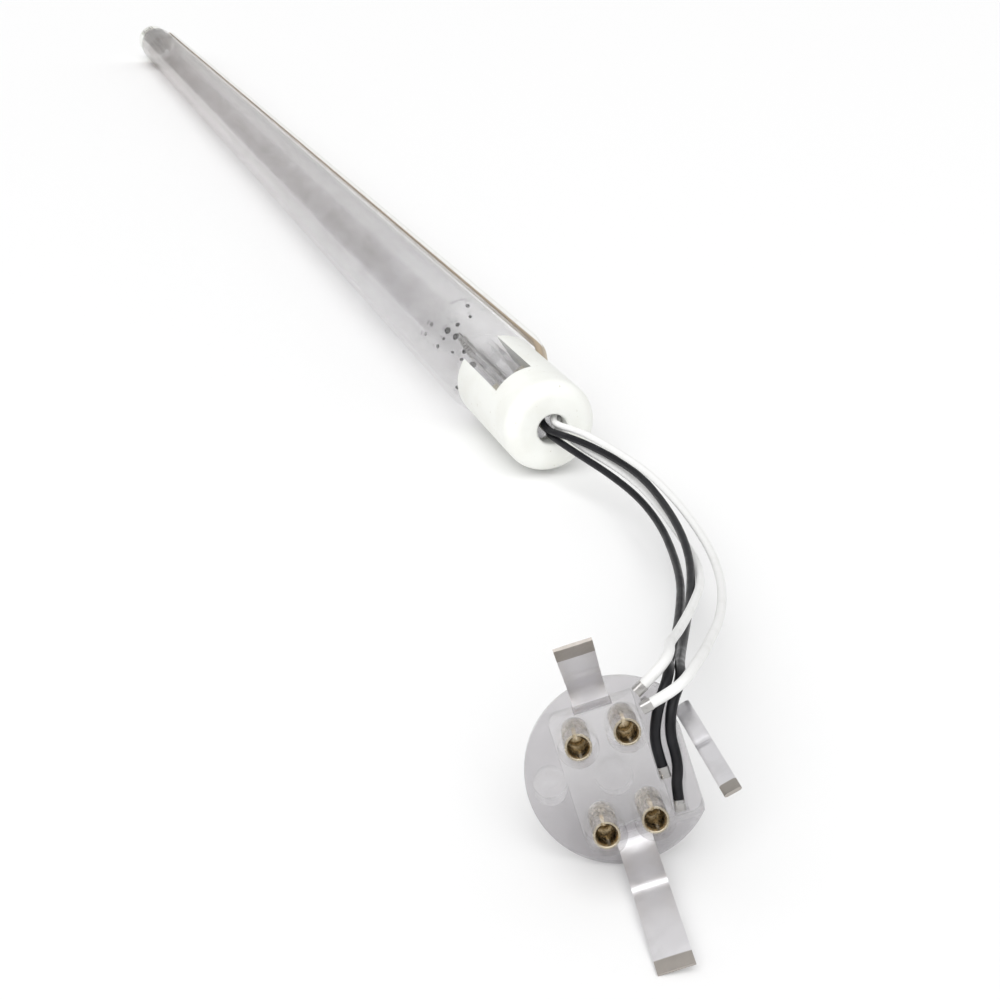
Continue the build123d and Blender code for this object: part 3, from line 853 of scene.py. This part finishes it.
class LAMP_OT_electrodes(Operator):
    """Wind both electrode coils, and finish the posts, foils, pins and mercury drops"""
    bl_idname = "lamp.electrodes"
    bl_label = "Electrodes"

    def execute(self, context):
        coating = coating_finish()
        coil = coil_skin()
        make_piece("coil_base", loft(on_lamp(coil)), ["base_electrode_coil"], coating)
        make_piece("coil_tip", loft(on_lamp(from_tip(coil))), ["tip_electrode_coil"], coating)
        drops = [loft(on_lamp(drop_skin(*bead))) for bead in BEADS]
        make_piece("mercury_drops", joined(drops), ["mercury_beads"], mercury_finish())
        molybdenum = metal_finish("molybdenum", (0.50, 0.49, 0.48), (0.33, 0.32, 0.31), 1)
        nickel = metal_finish("nickel_sleeve", (0.60, 0.57, 0.53), (0.42, 0.40, 0.36), 1)
        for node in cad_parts:
            if node.startswith(("base_foil", "base_post", "base_pin", "tip_foil", "tip_post", "tip_pin")):
                dress(node, molybdenum)
            elif node.startswith(("tip_link", "pin_sleeve", "return_sleeve")):
                dress(node, nickel)
        return {"FINISHED"}


# Return leads along the glass. The line leads from the base's sleeves out over the dome, as distance from the
# axis and station.
RETURN_LINE = [(3.4, PIN_START), (3.4, 11.2), (5.6, 17.0), (8.3, 24.0), (10.05, 29.0), (10.4, 34.5)]


class LAMP_OT_return_leads(Operator):
    """Run the two insulated return leads along the outside of the glass"""
    bl_idname = "lamp.return_leads"
    bl_label = "Return leads"

    def execute(self, context):
        pale = insulation_finish("white_sleeve", (0.84, 0.84, 0.82), (0.74, 0.72, 0.68), tan_side=True)
        tan = insulation_finish("tan_sleeve", (0.56, 0.49, 0.39), (0.42, 0.35, 0.27))
        for name, x, look in (("return_lead_left", -RETURN_X, tan), ("return_lead_right", RETURN_X, pale)):
            base = [(x, y, z) for y, z in RETURN_LINE]
            tip = [(x, y, LENGTH - z - TIP_SHIFT) for y, z in reversed(RETURN_LINE)]
            centre = rounded(base + tip, 4)
            side = np.broadcast_to([1.0, 0.0, 0.0], centre.shape)
            rings = sweep(centre, side, section(RETURN_R, RETURN_R, power=2, count=20))
            skin = loft(on_lamp(end_eased(rings, 0.2)))
            make_piece(name + "_sleeve", skin, [name], look)
        return {"FINISHED"}


# Socket cap, with the rounding of its edges and of the contacts' edges in millimetres
CAP_EDGE = 0.08
CONTACT_EDGE = 0.05


class LAMP_OT_cap(Operator):
    """Finish the clear moulded cap and the terminals that show through it"""
    bl_idname = "lamp.cap"
    bl_label = "Clear cap"

    def execute(self, context):
        settings = context.scene.lamp_cap
        look = clear_plastic_finish(settings.color)
        rounded_copy("cap_body", "clear_cap_moulding", look, CAP_EDGE)
        tinned = metal_finish("tinned_terminal", (0.55, 0.54, 0.53), (0.36, 0.34, 0.31), 0)
        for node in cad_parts:
            if node.endswith("_terminal"):
                dress(node, tinned)
        return {"FINISHED"}


class LAMP_OT_contacts(Operator):
    """Finish the four sprung female contacts"""
    bl_idname = "lamp.contacts"
    bl_label = "Socket contacts"

    def execute(self, context):
        color = context.scene.lamp_cap.contact
        look = metal_finish("plated_contact", color, (0.25, 0.22, 0.17), 1, (0.12, 0.34), 0.3)
        for number in "1234":
            node, name = "socket_contact_" + number, "contact_barrel_" + number
            rounded_copy(node, name, look, CONTACT_EDGE)
        return {"FINISHED"}


# Middle lines of the spring legs in the cap frame, as in the part
HUB_X = -0.65
HUB_TOP = 8.3
HUB_BOTTOM = -6.4
TOP_REACH = 0.89
STRIP_W = 4.1
SIDE_W = 1.9
SIDE_TURN = radians(12.0)
SIDE_PLACE = np.array([8.5, 4.6, 0.0])
LEG_LINE = [(-0.8, 1.8), (1.9, 1.85), (3.7, 4.4), (4.1, 6.1), (5.1, 6.8), (5.6, 8.5), (8.9, 14.1), (9.9, 15.5)]
SIDE_LINE = [(0, 0.6), (0.1, 1.8), (2.2, 6.0), (3.1, 6.9), (2.9, 8.0), (3.3, 8.9), (5.9, 14.2), (6.1, 15.2)]


def strip_rings(line, half_width, half_thick):
    """Bent strip, its width along X: its flat rounded section carried along the rounded middle line."""
    centre = rounded(line, 3)
    along = np.broadcast_to(np.array([1.0, 0.0, 0.0]), centre.shape)
    rings = sweep(centre, along, section(half_width, half_thick, power=9, count=40))
    return end_eased(rings, 0.06)


class LAMP_OT_legs(Operator):
    """Bend the three spring legs of the cap"""
    bl_idname = "lamp.legs"
    bl_label = "Spring legs"

    def execute(self, context):
        settings = context.scene.lamp_cap
        look = strip_finish(settings.steel)
        half = settings.strip / MM / 2
        for name, root, reach in (("top", HUB_TOP, TOP_REACH), ("bottom", HUB_BOTTOM, -1.0)):
            line = [(HUB_X, root + reach * out, z) for out, z in LEG_LINE]
            rings = strip_rings(line, STRIP_W / 2, half)
            skin = loft(on_cap(rings))
            make_piece("spring_strip_" + name, skin, ["spring_leg_" + name], look)
        rings = strip_rings([(0.0, -out, z) for out, z in SIDE_LINE], SIDE_W / 2, half)
        x, y, z = np.moveaxis(rings, -1, 0)
        cosine, sine = np.cos(SIDE_TURN), np.sin(SIDE_TURN)
        placed = SIDE_PLACE + np.stack([x * cosine - y * sine, x * sine + y * cosine, z], axis=-1)
        skin = loft(on_cap(placed))
        make_piece("spring_strip_side", skin, ["spring_leg_side"], look)
        return {"FINISHED"}


# Stage: half the floor's side in metres, the light's spread in degrees and its direction
FLOOR_HALF = 4.0
LIGHT_SPREAD = 75.0
LIGHT_AIM = (0.35, 0.6, -1.0)

# Camera, fitted to the photograph: its place in millimetres with Y from the base's end face, the direction it
# looks along on the floor, how far it looks down in degrees, and its lens
CAMERA_PLACE = (-78.95, -195.69, 96.0)
CAMERA_AIM = (0.333, 0.943, 0.0)
CAMERA_DIP = radians(25.4)
CAMERA_LENS = 46.8


class LAMP_OT_stage(Operator):
    """Set the pale floor, the soft lights and the camera at the photograph's angle"""
    bl_idname = "lamp.stage"
    bl_label = "Stage"

    def execute(self, context):
        scene = context.scene
        settings = scene.lamp_stage
        floor_look = Finish("pale_floor", settings.floor, 0.7)
        mesh = bpy.data.meshes.new("floor")
        corners = [(x * FLOOR_HALF, y * FLOOR_HALF, 0) for x, y in ((-1, -1), (1, -1), (1, 1), (-1, 1))]
        mesh.from_pydata(corners, [], [(0, 1, 2, 3)])
        mesh.materials.append(floor_look.material)
        floor = bpy.data.objects.new("floor", mesh)
        scene.collection.objects.link(floor)

        world = bpy.data.worlds.new("soft surround")
        world.use_nodes = True
        background = world.node_tree.nodes["Background"]
        background.inputs["Color"].default_value = (1.0, 1.0, 1.0, 1.0)
        background.inputs["Strength"].default_value = settings.surround
        scene.world = world
        data = bpy.data.lights.new("overhead light", "SUN")
        data.energy = settings.light
        data.angle = radians(LIGHT_SPREAD)
        light = bpy.data.objects.new("overhead light", data)
        light.location = (0.0, 0.0, 1.0)
        light.rotation_mode = "QUATERNION"
        light.rotation_quaternion = Vector(LIGHT_AIM).to_track_quat("-Z", "Y")
        scene.collection.objects.link(light)
        scene.view_settings.view_transform = "Standard"

        look = Vector(CAMERA_AIM).normalized() * np.cos(CAMERA_DIP)
        look.z = -np.sin(CAMERA_DIP)
        data = bpy.data.cameras.new("photograph view")
        data.lens = CAMERA_LENS
        data.sensor_width = 36.0
        data.clip_start = 0.01
        camera = bpy.data.objects.new("photograph view", data)
        x, y, z = CAMERA_PLACE
        camera.location = Vector((x, y - LENGTH / 2, z)) * MM
        camera.rotation_mode = "QUATERNION"
        camera.rotation_quaternion = look.to_track_quat("-Z", "Y")
        scene.collection.objects.link(camera)
        scene.camera = camera
        return {"FINISHED"}


class LAMP_PT_panel(Panel):
    """Lists the lamp's pieces and settings"""
    bl_idname = "LAMP_PT_panel"
    bl_label = "Tube lamp"
    bl_space_type = "VIEW_3D"
    bl_region_type = "UI"
    bl_category = "Lamp"

    def draw(self, context):
        scene = context.scene
        for operator in OPERATORS:
            self.layout.operator(operator.bl_idname)
        for name in SETTINGS:
            box = self.layout.box()
            group = getattr(scene, name)
            for key in group.bl_rna.properties.keys():
                if key not in ("rna_type", "name"):
                    box.prop(group, key)


OPERATORS = (
    LAMP_OT_stage, LAMP_OT_leads, LAMP_OT_glass, LAMP_OT_ceramics, LAMP_OT_electrodes, LAMP_OT_return_leads,
    LAMP_OT_cap, LAMP_OT_contacts, LAMP_OT_legs,
)
SETTINGS = {
    "lamp_tube": TubeSettings,
    "lamp_ceramic": CeramicSettings,
    "lamp_leads": LeadSettings,
    "lamp_cap": CapSettings,
    "lamp_stage": StageSettings,
}


def register():
    for name, group in SETTINGS.items():
        bpy.utils.register_class(group)
        setattr(bpy.types.Scene, name, PointerProperty(type=group))
    for operator in OPERATORS:
        bpy.utils.register_class(operator)
    bpy.utils.register_class(LAMP_PT_panel)


def unregister():
    bpy.utils.unregister_class(LAMP_PT_panel)
    for operator in reversed(OPERATORS):
        bpy.utils.unregister_class(operator)
    for name, group in SETTINGS.items():
        delattr(bpy.types.Scene, name)
        bpy.utils.unregister_class(group)


def main():
    """Make every piece in order."""
    register()
    bpy.ops.lamp.stage()
    bpy.ops.lamp.leads()
    bpy.ops.lamp.glass()
    bpy.ops.lamp.ceramics()
    bpy.ops.lamp.electrodes()
    bpy.ops.lamp.return_leads()
    bpy.ops.lamp.cap()
    bpy.ops.lamp.contacts()
    bpy.ops.lamp.legs()


if __name__ == "__main__":
    main()
